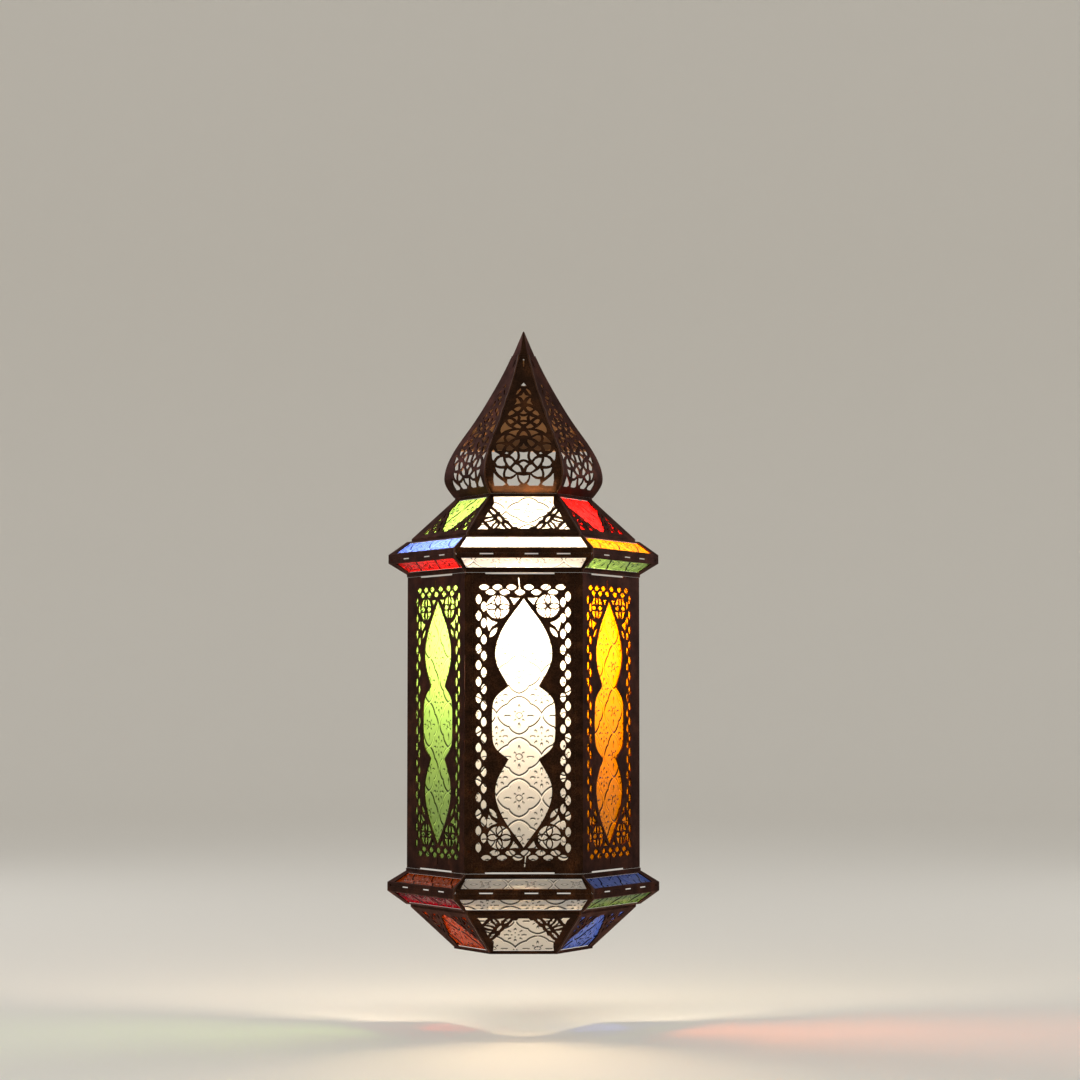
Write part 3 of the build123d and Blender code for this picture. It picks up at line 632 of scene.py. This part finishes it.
class LANTERN_OT_lamp(bpy.types.Operator):
    """Make the bulb and finish its holder"""
    bl_idname = "lantern.lamp"
    bl_label = "Lamp"

    def execute(self, context):
        settings = context.scene.lantern
        low, high = BULB_LOW.z, BULB_HIGH.z
        radius = (BULB_HIGH.x - BULB_LOW.x) / 2
        centre = high - radius
        neck = 6.6 * MM
        profile = [(0, low), (neck, low), (neck + 0.2 * MM, low + 3 * MM)]
        for i in range(0, 25):
            angle = radians(-42 + i * 132 / 24)
            profile.append((radius * cos(angle), centre + radius * sin(angle)))
        profile[-1] = (0, high)
        globe = lathe(profile)
        finish_piece("bulb_globe", globe, opal_bulb(settings.bulb_strength), body="bulb",
                     replaces=["bulb_glass"], smooth=50.0)
        cap_low, cap_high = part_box("bulb_cap")
        cap_radius = (cap_high.x - cap_low.x) / 2
        pitch = 2.8 * MM
        thread_depth = 0.84 * MM
        turns, steps = 6, 8
        profile = [(0, cap_low.z + 3.0 * MM), (cap_radius - 1.9 * MM, cap_low.z + 3.4 * MM),
                   (cap_radius - 0.9 * MM, cap_low.z + 4.6 * MM)]
        for i in range(turns * steps + 1):
            z = cap_low.z + 5.0 * MM + i * pitch / steps
            swell = thread_depth / 2 * (1 + cos(2 * pi * i / steps))
            profile.append((cap_radius - thread_depth + swell, z))
        profile += [(cap_radius - 0.5 * MM, cap_high.z - 1.6 * MM),
                    (cap_radius - 0.2 * MM, cap_high.z), (0, cap_high.z)]
        finish_piece("bulb_cap_shell", lathe(profile), nickel(), body="bulb",
                     replaces=["bulb_cap"], smooth=60.0)
        tip = [(0, cap_low.z), (1.6 * MM, cap_low.z + 0.2 * MM), (2.4 * MM, cap_low.z + 1.2 * MM),
               (2.6 * MM, cap_low.z + 1.9 * MM), (0, cap_low.z + 2.0 * MM)]
        finish_piece("bulb_contact", lathe(tip, 32), nickel(), body="bulb")
        bead = [(0, cap_low.z + 1.7 * MM), (2.7 * MM, cap_low.z + 1.7 * MM),
                (4.6 * MM, cap_low.z + 2.9 * MM), (cap_radius - 1.95 * MM, cap_low.z + 3.6 * MM),
                (0, cap_low.z + 3.7 * MM)]
        finish_piece("bulb_insulator", lathe(bead, 32), vitrite(), body="bulb")
        paint("bulb_filament", tungsten())
        black = phenolic()
        for name in ("lampholder", "lampholder_ring"):
            paint(name, black)
        paint("terminal_block", nylon())
        return {"FINISHED"}


class LANTERN_OT_fixings(bpy.types.Operator):
    """Finish the screws, the nut and the pane tabs"""
    bl_idname = "lantern.fixings"
    bl_label = "Fixings"

    def execute(self, context):
        plated = zinc()
        for name in ("screws", "pane_tabs", "lampholder_nut"):
            paint(name, plated)
        return {"FINISHED"}


class LANTERN_OT_stage(bpy.types.Operator):
    """Set the floor, the lights and the camera"""
    bl_idname = "lantern.stage"
    bl_label = "Stage"

    def execute(self, context):
        settings = context.scene.lantern
        scene = context.scene
        floor_z = CAD_LOW.z - settings.floor_drop
        flat, sweep, wall = 4.0, 1.5, 4.0
        profile = [(0, floor_z), (flat, floor_z)]
        for i in range(1, 9):
            angle = radians(90 * i / 8)
            profile.append((flat + sweep * sin(angle), floor_z + sweep * (1 - cos(angle))))
        profile.append((flat + sweep, floor_z + wall))
        shape = bmesh.new()
        ring = [shape.verts.new((r, 0, z)) for r, z in profile]
        edges = [shape.edges.new(pair) for pair in zip(ring, ring[1:])]
        bmesh.ops.spin(shape, geom=ring + edges, cent=(0, 0, 0), axis=(0, 0, 1), angle=2 * pi,
                       steps=96, use_merge=True)
        bmesh.ops.remove_doubles(shape, verts=shape.verts, dist=1e-6)
        mesh = bpy.data.meshes.new("studio_floor")
        shape.to_mesh(mesh)
        shape.free()
        mesh.shade_smooth()
        material, tree, output, _ = new_material("matt_painted_studio_floor")
        shader = add(tree, "ShaderNodeBsdfPrincipled", {
            "Base Color": (*settings.floor_colour, 1.0), "Roughness": 0.8})
        tree.links.new(shader.outputs["BSDF"], output.inputs["Surface"])
        mesh.materials.append(material)
        floor = bpy.data.objects.new("studio_floor", mesh)
        scene.collection.objects.link(floor)

        # Bright glass clips to clean colours under this view, instead of fading to white.
        scene.view_settings.view_transform = "Standard"
        world = bpy.data.worlds.new("studio")
        world.use_nodes = True
        world.node_tree.nodes["Background"].inputs["Color"].default_value = linear("#F2F0EC")
        world.node_tree.nodes["Background"].inputs["Strength"].default_value = 0.72
        scene.world = world

        middle = (CAD_LOW + CAD_HIGH) / 2
        for name, (offset, size, energy) in SOFTBOXES.items():
            light = bpy.data.lights.new(name, "AREA")
            light.shape = "SQUARE"
            light.size = size
            light.energy = energy
            lamp = bpy.data.objects.new(name, light)
            lamp.location = middle + Vector(offset)
            lamp.rotation_euler = (middle - lamp.location).to_track_quat("-Z", "Y").to_euler()
            scene.collection.objects.link(lamp)

        data = bpy.data.cameras.new("camera")
        data.lens = CAMERA_LENS
        data.sensor_width = 36.0
        camera = bpy.data.objects.new("camera", data)
        camera.location = CAMERA_AT
        camera.rotation_euler = (radians(CAMERA_TILT), 0, radians(CAMERA_TURN))
        scene.collection.objects.link(camera)
        scene.camera = camera
        return {"FINISHED"}


class LANTERN_PT_sidebar(bpy.types.Panel):
    bl_idname = "LANTERN_PT_sidebar"
    bl_label = "Moroccan lantern"
    bl_space_type = "VIEW_3D"
    bl_region_type = "UI"
    bl_category = "Lantern"

    def draw(self, context):
        settings = context.scene.lantern
        for name in LanternSettings.__annotations__:
            self.layout.prop(settings, name)
        for operator in OPERATORS:
            self.layout.operator(operator.bl_idname)


OPERATORS = (LANTERN_OT_metalwork, LANTERN_OT_seams, LANTERN_OT_panes, LANTERN_OT_lamp,
             LANTERN_OT_fixings, LANTERN_OT_stage)
CLASSES = (LanternSettings, *OPERATORS, LANTERN_PT_sidebar)


def register():
    for cls in CLASSES:
        bpy.utils.register_class(cls)
    bpy.types.Scene.lantern = PointerProperty(type=LanternSettings)


def unregister():
    del bpy.types.Scene.lantern
    for cls in reversed(CLASSES):
        bpy.utils.unregister_class(cls)


def main():
    register()
    bpy.ops.lantern.metalwork()
    bpy.ops.lantern.seams()
    bpy.ops.lantern.panes()
    bpy.ops.lantern.lamp()
    bpy.ops.lantern.fixings()
    bpy.ops.lantern.stage()


if __name__ == "__main__":
    main()
